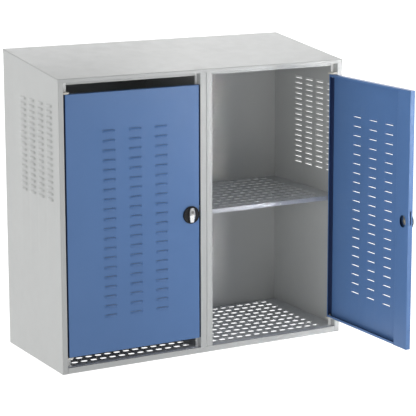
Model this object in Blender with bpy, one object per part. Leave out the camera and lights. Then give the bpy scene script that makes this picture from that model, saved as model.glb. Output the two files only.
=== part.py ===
"""Low two-compartment steel cabinet with two ventilated swing doors.

A welded sheet-steel carcass with a roof that slopes up to the back, louvred
side walls, a perforated floor and one perforated shelf in each compartment.
The left door is shut and the right door stands open at a right angle.

Units are metres, +Z is up and the front faces -Y. The origin is on the floor
under the middle of the carcass. The dimensions below are in millimetres,
measured from the front left bottom corner of the carcass: x to the right,
y to the back, z up.
"""
import math

import bmesh
import bpy
from mathutils import Matrix, Vector

for leftover in list(bpy.data.objects):
    bpy.data.objects.remove(leftover, do_unlink=True)

# ---------------------------------------------------------------- dimensions
WIDTH = 1050.0            # carcass, outside the side sheets
DEPTH = 437.0             # front frame face to the back of the cabinet
HEIGHT_FRONT = 950.0      # floor to the front edge of the roof
HEIGHT_BACK = 1003.0      # floor to the back edge of the roof

SKIN = 1.2                # side, back, partition and door sheet
FOLD = 1.5                # posts, rails, floors and shelves
GAP = 0.3                 # between pieces that touch

POST_FACE = 18.5          # front face of an outer post
REBATE = 26.0             # depth of the door rebate
LEFT_STOP_EDGE = 38.0     # inner edge of the stop flange on the left post
RIGHT_STOP_EDGE = 1021.0  # the same on the right post
CENTRE_X = WIDTH / 2.0
CENTRE_FACE_LEFT = 502.75
CENTRE_FACE_RIGHT = 547.25
CENTRE_STOP = 7.5         # width of the stop flanges of the centre post
FASCIA_BOTTOM = 938.5     # lower edge of the front fold of the roof
REAR_FOLD_BOTTOM = 988.0  # lower edge of the rear fold of the roof
HEADER_STOP_BOTTOM = 927.7
ROOF_SEAM = 1.0           # open seam between the roof and the side sheets
REAR_RETURN = 15.0        # the side sheets fold round the back by this much
BACK_INNER = DEPTH - 2.0 * SKIN - GAP  # inner face of the back panel

BASE_HEIGHT = 19.5
BACK_BOTTOM = 13.0        # the back is open along the ground by this much
FLOOR_TOP = 19.1
FLOOR_FRONT = 20.3
SHELF_TOP = 480.0
SHELF_FRONT = 21.0
SHELF_LIP = 15.0

HOLE_COLUMNS = 13
HOLE_ROWS = 10
HOLE_PITCH_X = 34.03
HOLE_PITCH_Y = 39.33
HOLE_FIRST_X_LEFT = 64.2
HOLE_FIRST_X_RIGHT = 577.4
HOLE_FIRST_Y = 50.8
HOLE_LENGTH = 22.0
HOLE_WIDTH = 14.0

SIDE_COLUMNS = 4
SIDE_ROWS = 17
SIDE_FIRST_Y = 71.2
SIDE_PITCH_Y = 68.2
SIDE_TOP_Z = 859.7
SIDE_PITCH_Z = 18.7

LOUVRE_LENGTH = 48.0      # over the sloping ends of the pressed strip
LOUVRE_OPENING = 44.0     # length of the slot behind the strip
LOUVRE_HEIGHT = 8.4       # height of the slot behind the strip
LOUVRE_RISE = 5.7         # the strip stands this far off the sheet

DOOR_WIDTH = 473.25
DOOR_BOTTOM = 53.3
DOOR_TOP = 900.4
DOOR_DEPTH = 17.5
DOOR_LIP = 8.0            # the top and bottom returns turn in again by this much
DOOR_HINGE_LIP = 5.0      # and the return at the hinge edge by this much
DOOR_SIDE_GAP = 5.5       # to the post on each side
PIVOT_INSET = 8.3         # hinge axis from the hinge edge of the door
PIVOT_DEPTH = 8.55        # hinge axis behind the outer face of the door
DOOR_COLUMNS = (148.0, 241.0, 334.0)
DOOR_ROWS = 20
DOOR_TOP_ROW = 775.15
DOOR_PITCH_Z = 31.7
CHANNEL_WIDTH = 70.0      # lock channel along the free edge
RIGHT_DOOR_REST = 90.0    # degrees open

PIN_RADIUS = 3.0
PIN_HOLE = 3.15
TAB_WIDTH = 23.3
TAB_HEIGHT = 5.5

LOCK_INSET = 31.5         # lock axis from the free edge
LOCK_Z = 474.3
ROSETTE_RADIUS = 29.0
ROSETTE_HEIGHT = 6.2
LEVER_LENGTH = 48.5
LEVER_WIDTH = 21.0
LEVER_HEIGHT = 9.0
KEY_OFFSET = 10.5         # key barrel above the lock axis
KEY_RADIUS = 4.9
SPINDLE_RADIUS = 4.0
TONGUE_REACH = 43.5       # from the lock axis
TONGUE_WIDTH = 14.0
TONGUE_FRONT = 7.2        # behind the outer face of the door
TONGUE_THICK = 3.0
TONGUE_SLOT_LOW = -9.5
TONGUE_SLOT_HIGH = 36.5

LEFT_PIVOT_X = POST_FACE + DOOR_SIDE_GAP + PIVOT_INSET
RIGHT_PIVOT_X = WIDTH - LEFT_PIVOT_X


# ------------------------------------------------------------------- helpers
def at(x, y, z):
    """A carcass point in millimetres as a point of the part in metres."""
    return Vector(((x - WIDTH / 2.0) / 1000.0, (y - DEPTH / 2.0) / 1000.0, z / 1000.0))


def roof_z(y):
    """Height of the roof's outer surface at a distance behind the front."""
    return HEIGHT_FRONT + (HEIGHT_BACK - HEIGHT_FRONT) * y / DEPTH


def paint(name, colour, roughness, metallic):
    mat = bpy.data.materials.new(name)
    mat.use_nodes = True
    shader = mat.node_tree.nodes["Principled BSDF"]
    shader.inputs["Base Color"].default_value = (*colour, 1.0)
    shader.inputs["Roughness"].default_value = roughness
    shader.inputs["Metallic"].default_value = metallic
    mat.diffuse_color = (*colour, 1.0)
    return mat


GREY = paint("grey_powder_coat", (0.55, 0.56, 0.55), 0.45, 0.0)
DARK = paint("galvanised_sheet", (0.16, 0.165, 0.17), 0.4, 0.6)
BLUE = paint("blue_powder_coat", (0.105, 0.215, 0.46), 0.42, 0.0)
BLACK = paint("black_plastic", (0.012, 0.012, 0.013), 0.4, 0.0)
SATIN = paint("satin_nickel", (0.72, 0.72, 0.70), 0.3, 1.0)
ZINC = paint("zinc_plated_steel", (0.52, 0.50, 0.44), 0.35, 1.0)


def add_box(bm, low, high):
    size = [h - l for l, h in zip(low, high)]
    mid = [(h + l) / 2.0 for l, h in zip(low, high)]
    bmesh.ops.create_cube(bm, size=1.0, matrix=Matrix.Translation(mid) @ Matrix.Diagonal((*size, 1.0)))


def add_prism(bm, outline, axis, start, end):
    """Extrude a closed outline along x, y or z between two stations.

    The outline holds the other two coordinates in x, y, z order.
    """
    def place(p, q, s):
        return {"x": (s, p, q), "y": (p, s, q), "z": (p, q, s)}[axis]

    ring = [bm.verts.new(place(p, q, start)) for p, q in outline]
    cap = bm.faces.new(ring)
    grown = bmesh.ops.extrude_face_region(bm, geom=[cap])
    moved = [v for v in grown["geom"] if isinstance(v, bmesh.types.BMVert)]
    bmesh.ops.translate(bm, verts=moved, vec=place(0.0, 0.0, end - start))


def circle(radius, sides, p=0.0, q=0.0, phase=0.5):
    return [(p + radius * math.cos(2.0 * math.pi * (k + phase) / sides),
             q + radius * math.sin(2.0 * math.pi * (k + phase) / sides)) for k in range(sides)]


def oval(width, height, sides, p=0.0, q=0.0):
    """A rounded slot outline: two half circles joined by straight sides."""
    r = min(width, height) / 2.0
    px, qx = width / 2.0 - r, height / 2.0 - r
    points = []
    for k in range(sides):
        a = 2.0 * math.pi * (k + 0.5) / sides
        points.append((p + r * math.cos(a) + math.copysign(px, math.cos(a)),
                       q + r * math.sin(a) + math.copysign(qx, math.sin(a))))
    return points


def make(name, bm, mat, origin, parent=None, smooth=False):
    """Turn a mesh in millimetres about its own origin into a named piece."""
    bmesh.ops.recalc_face_normals(bm, faces=bm.faces[:])
    bmesh.ops.scale(bm, verts=bm.verts[:], vec=(0.001, 0.001, 0.001))
    mesh = bpy.data.meshes.new(name)
    bm.to_mesh(mesh)
    bm.free()
    if mat is not None:
        mesh.materials.append(mat)
    if smooth:
        mesh.shade_smooth()
        mesh.set_sharp_from_angle(angle=math.radians(30.0))
    piece = bpy.data.objects.new(name, mesh)
    bpy.context.scene.collection.objects.link(piece)
    piece.location = origin
    if parent is not None:
        piece.parent = parent
    return piece


def tool(name, bm, origin, parent=None):
    """A cutting or joining shape, which isn't a piece of the cabinet."""
    shape = make(name, bm, None, origin, parent)
    shape.hide_render = True
    shape.display_type = "WIRE"
    return shape


def combine(piece, shape, operation):
    mod = piece.modifiers.new(operation.lower(), "BOOLEAN")
    mod.operation = operation
    mod.solver = "EXACT"
    mod.object = shape


def carcass(name, mat, shapes):
    """A fixed piece from ("box", low, high) and ("prism", ...) in carcass millimetres."""
    bm = bmesh.new()
    for shape in shapes:
        if shape[0] == "box":
            add_box(bm, shape[1], shape[2])
        else:
            add_prism(bm, *shape[1:])
    low = Vector([min(v.co[i] for v in bm.verts) for i in range(3)])
    high = Vector([max(v.co[i] for v in bm.verts) for i in range(3)])
    mid = (low + high) / 2.0
    bmesh.ops.translate(bm, verts=bm.verts[:], vec=-mid)
    return make(name, bm, mat, at(*mid))


def carcass_tool(name, shapes):
    bm = bmesh.new()
    for shape in shapes:
        if shape[0] == "box":
            add_box(bm, shape[1], shape[2])
        else:
            add_prism(bm, *shape[1:])
    return tool(name, bm, at(0.0, 0.0, 0.0))


def mirrored(points):
    """An outline in (x, y) mirrored to the other side of the cabinet."""
    return [(WIDTH - x, y) for x, y in points]


# ------------------------------------------------------------------- carcass
def side_panel(name, outer, inner, out):
    """A flat side sheet under the roof slope, with rows of pressed louvres."""
    seam = ROOF_SEAM + FOLD
    outline = [(0.0, 0.0), (0.0, FASCIA_BOTTOM - GAP), (FOLD + GAP, FASCIA_BOTTOM - GAP),
               (FOLD + GAP, roof_z(FOLD + GAP) - seam),
               (DEPTH - FOLD - GAP, roof_z(DEPTH - FOLD - GAP) - seam),
               (DEPTH - FOLD - GAP, REAR_FOLD_BOTTOM - GAP), (DEPTH, REAR_FOLD_BOTTOM - GAP),
               (DEPTH, 0.0)]
    panel = carcass(name, GREY, [("prism", outline, "x", outer, inner)])
    slots, strips = [], []
    buried = outer - out * 0.7
    under = outer + out * (LOUVRE_RISE - SKIN)
    top = outer + out * LOUVRE_RISE
    half = LOUVRE_HEIGHT / 2.0
    for column in range(SIDE_COLUMNS):
        y = SIDE_FIRST_Y + column * SIDE_PITCH_Y
        for row in range(SIDE_ROWS):
            z = SIDE_TOP_Z - row * SIDE_PITCH_Z
            slots.append(("box", (min(outer, inner) - 1.0, y - LOUVRE_OPENING / 2.0, z - half),
                          (max(outer, inner) + 1.0, y + LOUVRE_OPENING / 2.0, z + half)))
            strip = [(buried, y - 24.6), (top, y - 19.5), (top, y + 19.5), (buried, y + 24.6),
                     (buried, y + 22.2), (under, y + 18.1), (under, y - 18.1), (buried, y - 22.2)]
            strips.append(("prism", strip, "z", z - half + 0.2, z + half - 0.2))
    combine(panel, carcass_tool(name + "_slots", slots), "DIFFERENCE")
    # The sheet's rear edge folds round the back panel.
    near, far = outer - out * 0.4, outer - out * REAR_RETURN
    strips.append(("box", (min(near, far), DEPTH - SKIN, 0.0), (max(near, far), DEPTH, REAR_FOLD_BOTTOM - GAP)))
    combine(panel, carcass_tool(name + "_strips", strips), "UNION")


side_panel("left_side_panel", 0.0, SKIN, -1.0)
side_panel("right_side_panel", WIDTH, WIDTH - SKIN, 1.0)

carcass("back_panel", GREY, [("box", (SKIN + GAP, BACK_INNER, BACK_BOTTOM),
                              (WIDTH - SKIN - GAP, BACK_INNER + SKIN, REAR_FOLD_BOTTOM - GAP))])

carcass("roof", GREY, [("prism", [
    (0.0, FASCIA_BOTTOM), (0.0, HEIGHT_FRONT), (DEPTH, HEIGHT_BACK), (DEPTH, REAR_FOLD_BOTTOM),
    (DEPTH - FOLD, REAR_FOLD_BOTTOM), (DEPTH - FOLD, roof_z(DEPTH - FOLD) - FOLD),
    (FOLD, roof_z(FOLD) - FOLD), (FOLD, FASCIA_BOTTOM)], "x", 0.0, WIDTH)])

# The roof plane, less the sheet and the seam, is the ceiling of the partition.
PARTITION_FRONT = 20.3
carcass("centre_partition", GREY, [("prism", [
    (PARTITION_FRONT, FLOOR_TOP - FOLD), (PARTITION_FRONT, roof_z(PARTITION_FRONT) - FOLD - 1.5),
    (BACK_INNER - GAP, roof_z(BACK_INNER - GAP) - FOLD - 1.5), (BACK_INNER - GAP, FLOOR_TOP - FOLD)],
    "x", CENTRE_X - SKIN / 2.0, CENTRE_X + SKIN / 2.0)])

# Outer posts: a weld leg on the side sheet, the front face, the rebate wall
# and the flange that the door stops against.
POST_TOP = FASCIA_BOTTOM - GAP
OUTER_POST = [(SKIN + GAP, 20.0), (SKIN + GAP, 0.0), (POST_FACE, 0.0), (POST_FACE, REBATE - FOLD),
              (LEFT_STOP_EDGE, REBATE - FOLD), (LEFT_STOP_EDGE, REBATE), (POST_FACE - FOLD, REBATE),
              (POST_FACE - FOLD, FOLD), (SKIN + GAP + FOLD, FOLD), (SKIN + GAP + FOLD, 20.0)]
RIGHT_POST = mirrored([(x if x != LEFT_STOP_EDGE else WIDTH - RIGHT_STOP_EDGE, y) for x, y in OUTER_POST])

carcass("left_front_post", GREY, [("prism", OUTER_POST, "z", 0.0, POST_TOP)])
carcass("right_front_post", GREY, [("prism", RIGHT_POST, "z", 0.0, POST_TOP)])

# The centre post is two folded halves, back to back, each with a slot for
# the latch tongue in its rebate wall.
HALF_POST = [(CENTRE_FACE_LEFT - CENTRE_STOP, REBATE), (CENTRE_FACE_LEFT - CENTRE_STOP, REBATE - FOLD),
             (CENTRE_FACE_LEFT, REBATE - FOLD), (CENTRE_FACE_LEFT, 0.0),
             (CENTRE_X - GAP / 2.0, 0.0), (CENTRE_X - GAP / 2.0, 20.0),
             (CENTRE_X - GAP / 2.0 - FOLD, 20.0), (CENTRE_X - GAP / 2.0 - FOLD, FOLD),
             (CENTRE_FACE_LEFT + FOLD, FOLD), (CENTRE_FACE_LEFT + FOLD, REBATE)]
for name, outline, wall in (("centre_post_left", HALF_POST, CENTRE_FACE_LEFT),
                            ("centre_post_right", mirrored(HALF_POST), CENTRE_FACE_RIGHT)):
    half_post = carcass(name, GREY, [("prism", outline, "z", BASE_HEIGHT + GAP, POST_TOP)])
    combine(half_post, carcass_tool(name + "_latch_slot", [
        ("box", (wall - 3.0, 5.4, LOCK_Z - 10.0), (wall + 3.0, 12.0, LOCK_Z + 27.0))]), "DIFFERENCE")

# Headers: an upright leg behind the roof's front fold, a web over the door
# and a stop flange hanging from its back edge.
for name, left, right, stop_left, stop_right in (
        ("left_header_rail", POST_FACE + GAP, CENTRE_FACE_LEFT - GAP,
         LEFT_STOP_EDGE + GAP, CENTRE_FACE_LEFT - CENTRE_STOP - GAP),
        ("right_header_rail", CENTRE_FACE_RIGHT + GAP, WIDTH - POST_FACE - GAP,
         CENTRE_FACE_RIGHT + CENTRE_STOP + GAP, RIGHT_STOP_EDGE - GAP)):
    header = carcass(name, GREY, [("prism", [
        (FOLD + GAP, FASCIA_BOTTOM - FOLD), (FOLD + GAP, HEIGHT_FRONT - 4.0),
        (2.0 * FOLD + GAP, HEIGHT_FRONT - 4.0), (2.0 * FOLD + GAP, FASCIA_BOTTOM),
        (REBATE, FASCIA_BOTTOM), (REBATE, HEADER_STOP_BOTTOM), (REBATE - FOLD, HEADER_STOP_BOTTOM),
        (REBATE - FOLD, FASCIA_BOTTOM - FOLD)], "x", left, right)])
    ends = [("box", (left - 1.0, REBATE - FOLD - GAP, HEADER_STOP_BOTTOM - 1.0),
             (stop_left, REBATE + 1.0, FASCIA_BOTTOM + 1.0)),
            ("box", (stop_right, REBATE - FOLD - GAP, HEADER_STOP_BOTTOM - 1.0),
             (right + 1.0, REBATE + 1.0, FASCIA_BOTTOM + 1.0))]
    combine(header, carcass_tool(name + "_ends", ends), "DIFFERENCE")

# Base frame. The front rail is a gutter: its front leg shows under the
# doors, and its back leg ends in a lip level with the floor. The rear rail is
# an angle that stays clear of the ground, so the last rows of floor holes
# are open right through.
RAIL_TOP = FLOOR_TOP - FOLD - GAP
carcass("base_front_rail", GREY, [("prism", [
    (0.0, 0.0), (0.0, BASE_HEIGHT), (FOLD, BASE_HEIGHT), (FOLD, FOLD), (13.5, FOLD), (13.5, FLOOR_TOP),
    (20.0, FLOOR_TOP), (20.0, FLOOR_TOP - FOLD), (15.0, FLOOR_TOP - FOLD), (15.0, 0.0)],
    "x", POST_FACE + GAP, WIDTH - POST_FACE - GAP)])
SIDE_RAIL = [(SKIN + GAP, 0.0), (25.0, 0.0), (25.0, FOLD), (SKIN + GAP + FOLD, FOLD),
             (SKIN + GAP + FOLD, RAIL_TOP - FOLD), (25.0, RAIL_TOP - FOLD), (25.0, RAIL_TOP), (SKIN + GAP, RAIL_TOP)]
for name, flip in (("base_left_rail", False), ("base_right_rail", True)):
    outline = [((WIDTH - x) if flip else x, z) for x, z in SIDE_RAIL]
    carcass(name, GREY, [("prism", outline, "y", 27.0, 414.7)])
REAR = BACK_INNER - GAP
carcass("base_rear_rail", GREY, [("prism", [
    (REAR, BACK_BOTTOM), (REAR - FOLD, BACK_BOTTOM), (REAR - FOLD, RAIL_TOP - FOLD),
    (415.0, RAIL_TOP - FOLD), (415.0, RAIL_TOP), (REAR, RAIL_TOP)], "x", SKIN + GAP, WIDTH - SKIN - GAP)])
carcass("base_centre_rail", GREY, [("prism", [
    (CENTRE_X - 20.0, 0.0), (CENTRE_X + 20.0, 0.0), (CENTRE_X + 20.0, RAIL_TOP),
    (CENTRE_X + 20.0 - FOLD, RAIL_TOP), (CENTRE_X + 20.0 - FOLD, FOLD), (CENTRE_X - 20.0 + FOLD, FOLD),
    (CENTRE_X - 20.0 + FOLD, RAIL_TOP), (CENTRE_X - 20.0, RAIL_TOP)], "y", 20.3, 414.7)])


def hole_grid(first_x, low, high):
    """Boxes for the rows of oblong holes through a floor or shelf."""
    shapes = []
    for column in range(HOLE_COLUMNS):
        x = first_x + column * HOLE_PITCH_X
        for row in range(HOLE_ROWS):
            y = HOLE_FIRST_Y + row * HOLE_PITCH_Y
            shapes.append(("box", (x - HOLE_LENGTH / 2.0, y - HOLE_WIDTH / 2.0, low),
                           (x + HOLE_LENGTH / 2.0, y + HOLE_WIDTH / 2.0, high)))
    return shapes


def notched_sheet(name, left, right, step_left, step_right, front, rear, top):
    """A flat sheet whose front corners are cut back to clear the posts."""
    behind = REBATE + 0.6
    return carcass(name, DARK, [("prism", [
        (left, behind), (step_left, behind), (step_left, front), (step_right, front),
        (step_right, behind), (right, behind), (right, rear), (left, rear)], "z", top - FOLD, top)])


WALL = CENTRE_X - SKIN / 2.0
LEFT_STEPS = (LEFT_STOP_EDGE + 1.3, CENTRE_FACE_LEFT - CENTRE_STOP - 1.3)
RIGHT_STEPS = (CENTRE_FACE_RIGHT + CENTRE_STOP + 1.3, RIGHT_STOP_EDGE - 1.3)
for name, left, right, steps, first_x in (
        ("left_floor", SKIN + GAP, WALL - GAP, LEFT_STEPS, HOLE_FIRST_X_LEFT),
        ("right_floor", WIDTH - WALL + GAP, WIDTH - SKIN - GAP, RIGHT_STEPS, HOLE_FIRST_X_RIGHT)):
    sheet = notched_sheet(name, left, right, *steps, FLOOR_FRONT, REAR, FLOOR_TOP)
    combine(sheet, carcass_tool(name + "_holes", hole_grid(first_x, FLOOR_TOP - FOLD - 1.0, FLOOR_TOP + 1.0)),
            "DIFFERENCE")


def shelf(name, left, right, lip_left, lip_right, first_x):
    """A perforated sheet with a folded front lip, notched round the posts."""
    sheet = notched_sheet(name, left, right, lip_left, lip_right, SHELF_FRONT, BACK_INNER - 1.0, SHELF_TOP)
    lip = [("box", (lip_left, SHELF_FRONT, SHELF_TOP - SHELF_LIP),
            (lip_right, SHELF_FRONT + FOLD, SHELF_TOP - FOLD / 2.0))]
    combine(sheet, carcass_tool(name + "_lip", lip), "UNION")
    combine(sheet, carcass_tool(name + "_holes", hole_grid(first_x, SHELF_TOP - FOLD - 1.0, SHELF_TOP + 1.0)),
            "DIFFERENCE")


shelf("left_shelf", SKIN + 1.0, WALL - 1.0, *LEFT_STEPS, HOLE_FIRST_X_LEFT)
shelf("right_shelf", WIDTH - WALL + 1.0, WIDTH - SKIN - 1.0, *RIGHT_STEPS, HOLE_FIRST_X_RIGHT)

# Angle brackets that carry the shelves on the walls.
SEAT = SHELF_TOP - FOLD - GAP
for name, wall, inward in (("left_shelf_support_left", SKIN + GAP, 1.0),
                           ("left_shelf_support_right", WALL - GAP, -1.0),
                           ("right_shelf_support_left", WIDTH - WALL + GAP, 1.0),
                           ("right_shelf_support_right", WIDTH - SKIN - GAP, -1.0)):
    carcass(name, GREY, [("prism", [
        (wall, SEAT - 22.0), (wall, SEAT), (wall + inward * 18.0, SEAT), (wall + inward * 18.0, SEAT - FOLD),
        (wall + inward * FOLD, SEAT - FOLD), (wall + inward * FOLD, SEAT - 22.0)], "y", 60.0, 400.0)])

# Hinge tabs stand forward from the stop flanges, over and under each door,
# and each carries the pin that the door turns on.
UPPER_TAB = DOOR_TOP + 0.8
LOWER_TAB = DOOR_BOTTOM - 0.8 - TAB_HEIGHT
for side, pivot_x, wall, inward in (("left", LEFT_PIVOT_X, POST_FACE + GAP, 1.0),
                                    ("right", RIGHT_PIVOT_X, WIDTH - POST_FACE - GAP, -1.0)):
    for level, low, pin_low, pin_high in (
            ("upper", UPPER_TAB, DOOR_TOP - 10.0, UPPER_TAB - GAP),
            ("lower", LOWER_TAB, LOWER_TAB + TAB_HEIGHT + GAP, DOOR_BOTTOM + 10.0)):
        end = wall + inward * TAB_WIDTH
        lead = wall + inward * (TAB_WIDTH - 7.0)
        carcass(side + "_" + level + "_hinge_tab", GREY, [("prism", [
            (wall, REBATE - FOLD - GAP), (wall, 1.2), (lead, 1.2), (end, 8.2), (end, REBATE - FOLD - GAP)],
            "z", low, low + TAB_HEIGHT)])
        carcass(side + "_" + level + "_hinge_pin", ZINC, [(
            "prism", circle(PIN_RADIUS, 16, pivot_x, PIVOT_DEPTH), "z", pin_low, pin_high)])


# --------------------------------------------------------------------- doors
def hinge_frame(name, pivot_x, degrees):
    """The empty on a door's hinge axis, at floor level."""
    empty = bpy.data.objects.new(name, None)
    bpy.context.scene.collection.objects.link(empty)
    empty.location = at(pivot_x, PIVOT_DEPTH, 0.0)
    empty.rotation_euler = (0.0, 0.0, math.radians(degrees))
    return empty


def lock_frame(name, hinge, hand):
    """The empty on a lock's axis, in the plane of the door's outer face."""
    empty = bpy.data.objects.new(name, None)
    bpy.context.scene.collection.objects.link(empty)
    empty.parent = hinge
    empty.location = (hand * (DOOR_WIDTH - LOCK_INSET - PIVOT_INSET) / 1000.0, -PIVOT_DEPTH / 1000.0, LOCK_Z / 1000.0)
    return empty


def door(side, hinge, lock, hand):
    """One door and its lock; hand is 1 with the hinge on the left, -1 on the right.

    Inside here x runs from the hinge axis to the free edge on a left-hand
    door, y from the hinge axis to the back, and z up from the floor.
    """
    near, far = -PIVOT_INSET, DOOR_WIDTH - PIVOT_INSET
    front, rim = -PIVOT_DEPTH, DOOR_DEPTH - PIVOT_DEPTH

    def span(a, b):
        return (min(hand * a, hand * b), max(hand * a, hand * b))

    def block(x, y, z):
        xs = span(*x)
        return (xs[0], y[0], z[0]), (xs[1], y[1], z[1])

    # Tray: a skin with four folded returns. Three of them turn in again and
    # frame the open back; the lock channel closes the fourth side.
    bm = bmesh.new()
    add_box(bm, *block((near, far), (front, rim), (DOOR_BOTTOM, DOOR_TOP)))
    tray = make(side + "_door_panel", bm, BLUE, (0.0, 0.0, 0.0), hinge)
    bm = bmesh.new()
    add_box(bm, *block((near + SKIN, far - SKIN), (front + SKIN, rim - SKIN), (DOOR_BOTTOM + SKIN, DOOR_TOP - SKIN)))
    combine(tray, tool(side + "_door_hollow", bm, (0.0, 0.0, 0.0), hinge), "DIFFERENCE")
    bm = bmesh.new()
    step = far - CHANNEL_WIDTH - GAP
    mouth = [(near + DOOR_HINGE_LIP, DOOR_BOTTOM + DOOR_LIP), (step, DOOR_BOTTOM + DOOR_LIP),
             (step, DOOR_BOTTOM + SKIN), (far - SKIN, DOOR_BOTTOM + SKIN), (far - SKIN, DOOR_TOP - SKIN),
             (step, DOOR_TOP - SKIN), (step, DOOR_TOP - DOOR_LIP), (near + DOOR_HINGE_LIP, DOOR_TOP - DOOR_LIP)]
    add_prism(bm, [(hand * x, z) for x, z in mouth], "y", rim - SKIN - 1.0, rim + 2.0)
    combine(tray, tool(side + "_door_mouth", bm, (0.0, 0.0, 0.0), hinge), "DIFFERENCE")

    bm = bmesh.new()
    half = LOUVRE_HEIGHT / 2.0
    for column in DOOR_COLUMNS:
        x = column - PIVOT_INSET
        for row in range(DOOR_ROWS):
            z = DOOR_TOP_ROW - row * DOOR_PITCH_Z
            add_box(bm, *block((x - LOUVRE_OPENING / 2.0, x + LOUVRE_OPENING / 2.0),
                               (front - 1.0, front + SKIN + 1.0), (z - half, z + half)))
    # Tongue slot in the free edge return.
    add_box(bm, *block((far - SKIN - 1.0, far + 1.0), (front + 6.0, front + 11.6),
                       (LOCK_Z + TONGUE_SLOT_LOW, LOCK_Z + TONGUE_SLOT_HIGH)))
    # Spindle hole in the skin.
    add_prism(bm, circle(7.0, 16, hand * (far - LOCK_INSET), LOCK_Z), "y", front - 1.0, front + SKIN + 1.0)
    # Pin holes in the top and bottom returns.
    for low, high in ((DOOR_BOTTOM - 1.0, DOOR_BOTTOM + SKIN + 1.0), (DOOR_TOP - SKIN - 1.0, DOOR_TOP + 1.0)):
        add_prism(bm, circle(PIN_HOLE, 16), "z", low, high)
    combine(tray, tool(side + "_door_holes", bm, (0.0, 0.0, 0.0), hinge), "DIFFERENCE")

    # Lock channel: a wide web level with the rim and a leg down to the skin.
    bm = bmesh.new()
    outer, inner = far - SKIN - GAP, far - CHANNEL_WIDTH
    outline = [(hand * outer, rim - SKIN), (hand * outer, rim), (hand * inner, rim), (hand * inner, front + SKIN + GAP),
               (hand * (inner + SKIN), front + SKIN + GAP), (hand * (inner + SKIN), rim - SKIN)]
    add_prism(bm, outline, "z", DOOR_BOTTOM + SKIN + GAP, DOOR_TOP - SKIN - GAP)
    channel = make(side + "_door_lock_channel", bm, BLUE, (0.0, 0.0, 0.0), hinge)
    bm = bmesh.new()
    add_prism(bm, oval(33.0, 40.0, 16, hand * (far - LOCK_INSET), LOCK_Z), "y", rim - SKIN - 1.0, rim + 1.0)
    combine(channel, tool(side + "_door_lock_window", bm, (0.0, 0.0, 0.0), hinge), "DIFFERENCE")

    # From here on the origin is on the lock axis, at the outer face.
    # Rosette and nut clamp the lock to the skin.
    bm = bmesh.new()
    add_prism(bm, circle(ROSETTE_RADIUS, 32), "y", -GAP - ROSETTE_HEIGHT, -GAP)
    rosette = make(side + "_lock_rosette", bm, BLACK, (0.0, 0.0, 0.0), lock, smooth=True)
    bm = bmesh.new()
    add_prism(bm, circle(12.0, 6), "y", SKIN + GAP, SKIN + GAP + 4.6)
    nut = make(side + "_lock_nut", bm, ZINC, (0.0, 0.0, 0.0), lock)
    bm = bmesh.new()
    add_prism(bm, circle(SPINDLE_RADIUS + 0.5, 16), "y", -GAP - ROSETTE_HEIGHT - 1.0, SKIN + GAP + 6.0)
    bore = tool(side + "_lock_bore", bm, (0.0, 0.0, 0.0), lock)
    combine(rosette, bore, "DIFFERENCE")
    combine(nut, bore, "DIFFERENCE")

    # Lever: a lens outline, pointed a little at both ends.
    lever_back = -GAP - ROSETTE_HEIGHT - GAP
    outline = []
    for k in range(24):
        a = 2.0 * math.pi * (k + 0.5) / 24
        c, s = math.cos(a), math.sin(a)
        outline.append((LEVER_WIDTH / 2.0 * math.copysign(abs(c) ** 0.75, c),
                        LEVER_LENGTH / 2.0 * math.copysign(abs(s) ** 0.85, s)))
    bm = bmesh.new()
    add_prism(bm, outline, "y", lever_back - LEVER_HEIGHT, lever_back)
    lever = make(side + "_lock_lever", bm, SATIN, (0.0, 0.0, 0.0), lock, smooth=True)
    bm = bmesh.new()
    add_prism(bm, circle(KEY_RADIUS + 0.3, 16, 0.0, KEY_OFFSET), "y", lever_back - LEVER_HEIGHT - 1.0, lever_back + 1.0)
    combine(lever, tool(side + "_key_bore", bm, (0.0, 0.0, 0.0), lock), "DIFFERENCE")

    # Key barrel, its origin on its own axis.
    bm = bmesh.new()
    add_prism(bm, circle(KEY_RADIUS, 16), "y", lever_back - LEVER_HEIGHT + 0.2, lever_back - 0.4)
    barrel = make(side + "_key_barrel", bm, SATIN, (0.0, 0.0, KEY_OFFSET / 1000.0), lock, smooth=True)
    bm = bmesh.new()
    add_box(bm, (-0.7, lever_back - LEVER_HEIGHT - 1.0, -3.2), (0.7, lever_back - LEVER_HEIGHT + 3.2, 3.2))
    combine(barrel, tool(side + "_keyway", bm, (0.0, 0.0, KEY_OFFSET / 1000.0), lock), "DIFFERENCE")

    # Spindle, tongue and the screw that holds the tongue on.
    bm = bmesh.new()
    add_prism(bm, circle(SPINDLE_RADIUS, 16), "y", lever_back + GAP, TONGUE_FRONT + TONGUE_THICK)
    make(side + "_lock_spindle", bm, ZINC, (0.0, 0.0, 0.0), lock, smooth=True)
    bm = bmesh.new()
    hub = 12.0
    tongue_outline = [(-5.0, -hub), (5.0, -hub), (TONGUE_WIDTH / 2.0, -hub + 4.0), (TONGUE_WIDTH / 2.0, TONGUE_REACH - 3.0),
                      (TONGUE_WIDTH / 2.0 - 3.0, TONGUE_REACH), (-TONGUE_WIDTH / 2.0 + 3.0, TONGUE_REACH),
                      (-TONGUE_WIDTH / 2.0, TONGUE_REACH - 3.0), (-TONGUE_WIDTH / 2.0, -hub + 4.0)]
    add_prism(bm, tongue_outline, "y", TONGUE_FRONT, TONGUE_FRONT + TONGUE_THICK)
    tongue = make(side + "_latch_tongue", bm, ZINC, (0.0, 0.0, 0.0), lock)
    bm = bmesh.new()
    add_prism(bm, circle(SPINDLE_RADIUS + 0.3, 16), "y", TONGUE_FRONT - 1.0, TONGUE_FRONT + TONGUE_THICK + 1.0)
    combine(tongue, tool(side + "_tongue_bore", bm, (0.0, 0.0, 0.0), lock), "DIFFERENCE")
    bm = bmesh.new()
    add_prism(bm, circle(6.0, 12), "y", TONGUE_FRONT + TONGUE_THICK + GAP, TONGUE_FRONT + TONGUE_THICK + 3.3)
    make(side + "_tongue_screw", bm, ZINC, (0.0, 0.0, 0.0), lock, smooth=True)


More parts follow.
